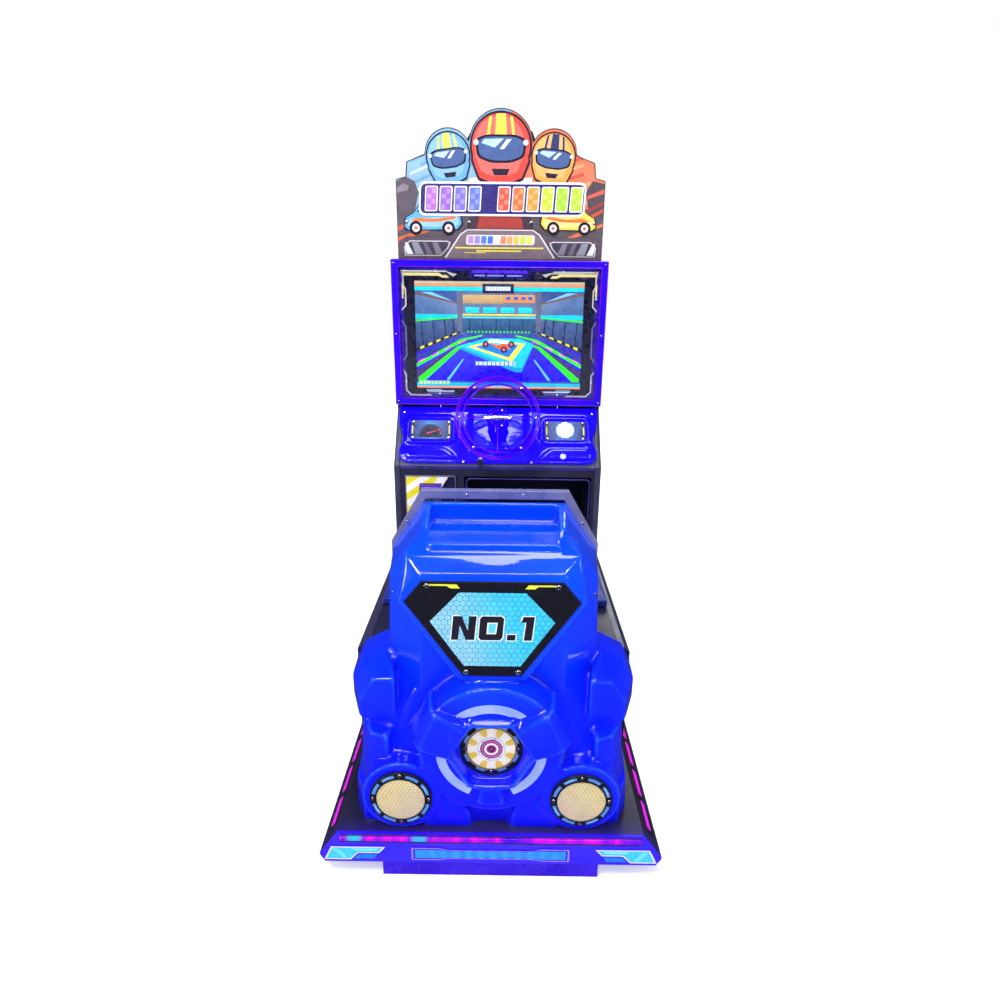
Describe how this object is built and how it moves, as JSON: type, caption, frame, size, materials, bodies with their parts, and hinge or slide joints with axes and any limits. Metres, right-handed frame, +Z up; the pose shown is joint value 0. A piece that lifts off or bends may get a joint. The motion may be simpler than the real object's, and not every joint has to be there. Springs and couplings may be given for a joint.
{
  "type": "sitdown racing cabinet",
  "caption": "Children's sitdown racing arcade cabinet with moulded bucket seat, side walls, steering wheel, foot pedals, coin door, screen and printed topper on a lit floor base.",
  "frame": {"origin": "on the floor, under the middle of the whole outline", "axes": "+Z up, +Y the way the driver looks, from the seat towards the screen, +X to the driver's right"},
  "size_m": [0.704, 1.2, 1.602],
  "materials": {
    "blue_gelcoat": "high gloss moulded blue",
    "black_laminate": "satin dark laminate on board",
    "plinth_paint": "satin dark blue paint",
    "magenta_light": "lit magenta diffuser",
    "blue_light": "lit blue diffuser",
    "trim_plastic": "satin dark grey",
    "blue_leather": "dark blue synthetic leather",
    "number_print": "printed plate, pale blue honeycomb",
    "emblem_print": "printed round badge",
    "speaker_mesh": "yellow perforated sheet in a black ring",
    "black_plastic": "satin black",
    "dark_steel": "black powder coat",
    "bare_steel": "brushed",
    "chrome": "polished",
    "zinc_case": "folded sheet",
    "coin_door_paint": "yellow and white striped print over paint",
    "red_plastic": "gloss red",
    "button_white": "lit translucent white",
    "blue_acrylic": "clear acrylic lit blue from within",
    "nylon": "natural nylon",
    "blue_tube": "lit blue tube round a black frame",
    "screen_glass": "printed border glass",
    "topper_print": "printed clear sheet",
    "circuit_board": "green board"
  },
  "bodies": {
    "cabinet": {"seat_shell": "blue_gelcoat", "control_panel": "blue_gelcoat", "base_deck": "black_laminate", "seat_box": "black_laminate", "side_wall_left": "black_laminate", "side_wall_right": "black_laminate", "cab_side_left": "black_laminate", "cab_side_right": "black_laminate", "cab_front_panel": "black_laminate", "footwell_liner": "black_laminate", "back_panel": "black_laminate", "cab_top": "black_laminate", "plinth": "plinth_paint", "rear_led_strip": "magenta_light", "side_light_left": "magenta_light", "side_light_right": "magenta_light", "rear_light_bar": "blue_light", "rear_corner_light_left": "blue_light", "rear_corner_light_right": "blue_light", "seat_trim_frame": "trim_plastic", "back_cushion": "blue_leather", "seat_cushion": "blue_leather", "arm_pad_left": "blue_leather", "arm_pad_right": "blue_leather", "number_plate": "number_print", "emblem_plate": "emblem_print", "speaker_grille_left": "speaker_mesh", "speaker_grille_right": "speaker_mesh", "speaker_driver_left": "black_plastic", "speaker_driver_right": "black_plastic", "lcd_monitor": "black_plastic", "power_inlet": "black_plastic", "gauge_plate": "black_plastic", "button_plate": "black_plastic", "cash_box": "dark_steel", "steering_pot": "dark_steel", "steering_bracket": "dark_steel", "pedal_bracket": "dark_steel", "monitor_bracket": "dark_steel", "pedal_pivot_pin": "bare_steel", "start_button_ring": "chrome", "power_supply": "zinc_case", "bezel_frame": "blue_tube", "bezel_glass": "screen_glass", "topper_panel": "topper_print", "game_board": "circuit_board"},
    "steering": {"steering_wheel": "blue_acrylic", "steering_shaft": "bare_steel", "steering_gear": "nylon"},
    "pot_gear": {"pot_gear": "nylon"},
    "accelerator": {"accelerator_pedal": "dark_steel"},
    "brake": {"brake_pedal": "dark_steel"},
    "start_button": {"start_button": "button_white"},
    "coin_door": {"coin_door": "coin_door_paint", "coin_mech": "black_plastic"},
    "coin_door_lock": {"coin_door_lock": "bare_steel"},
    "coin_reject_button": {"coin_reject_button": "red_plastic"},
    "coin_return_flap": {"coin_return_flap": "bare_steel"},
    "service_door": {"service_door": "black_laminate"},
    "power_switch": {"power_switch": "red_plastic"}
  },
  "joints": [
    {"name": "steering_turn", "type": "hinge", "parent": "cabinet", "child": "steering", "pos_m": [0, 0.16, 0.805], "axis": [0, -0.9135, 0.4067], "range_deg": [-135, 135], "stiffness_Nm_per_rad": 0.4},
    {"name": "pot_gear_turn", "type": "hinge", "parent": "cabinet", "child": "pot_gear", "pos_m": [0.045, 0.34819, 0.72121], "axis": [0, -0.9135, 0.4067], "range_deg": [-270, 270]},
    {"name": "accelerator_press", "type": "hinge", "parent": "cabinet", "child": "accelerator", "pos_m": [0.138, 0.262, 0.135], "axis": [-1, 0, 0], "range_deg": [0, 18], "stiffness_Nm_per_rad": 2.5, "springref_deg": -28.65},
    {"name": "brake_press", "type": "hinge", "parent": "cabinet", "child": "brake", "pos_m": [0.038, 0.262, 0.135], "axis": [-1, 0, 0], "range_deg": [0, 12], "stiffness_Nm_per_rad": 4, "springref_deg": -22.92},
    {"name": "start_button_press", "type": "slide", "parent": "cabinet", "child": "start_button", "axis": [0, 0.7888, -0.6147], "range_m": [0, 0.003], "stiffness_N_per_m": 300, "springref_m": -0.003},
    {"name": "coin_door_swing", "type": "hinge", "parent": "cabinet", "child": "coin_door", "pos_m": [-0.2685, 0.1868, 0.5305], "axis": [0, 0, -1], "range_deg": [0, 100]},
    {"name": "coin_door_lock_turn", "type": "hinge", "parent": "coin_door", "child": "coin_door_lock", "pos_m": [-0.141, 0.19, 0.53], "axis": [0, -1, 0], "range_deg": [0, 90]},
    {"name": "coin_reject_press", "type": "slide", "parent": "coin_door", "child": "coin_reject_button", "axis": [0, 1, 0], "range_m": [0, 0.004], "stiffness_N_per_m": 200, "springref_m": -0.003},
    {"name": "coin_return_flap_swing", "type": "hinge", "parent": "coin_door", "child": "coin_return_flap", "pos_m": [-0.194, 0.18025, 0.5095], "axis": [1, 0, 0], "range_deg": [0, 60]},
    {"name": "service_door_swing", "type": "hinge", "parent": "cabinet", "child": "service_door", "pos_m": [-0.1985, 0.5965, 0.48], "axis": [0, 0, 1], "range_deg": [0, 110]},
    {"name": "power_switch_rock", "type": "hinge", "parent": "cabinet", "child": "power_switch", "pos_m": [0.247, 0.595, 0.1585], "axis": [-1, 0, 0], "range_deg": [0, 16]}
  ],
  "couplings": [
    {"joint": "pot_gear_turn", "follows": "steering_turn", "ratio": -2}
  ]
}
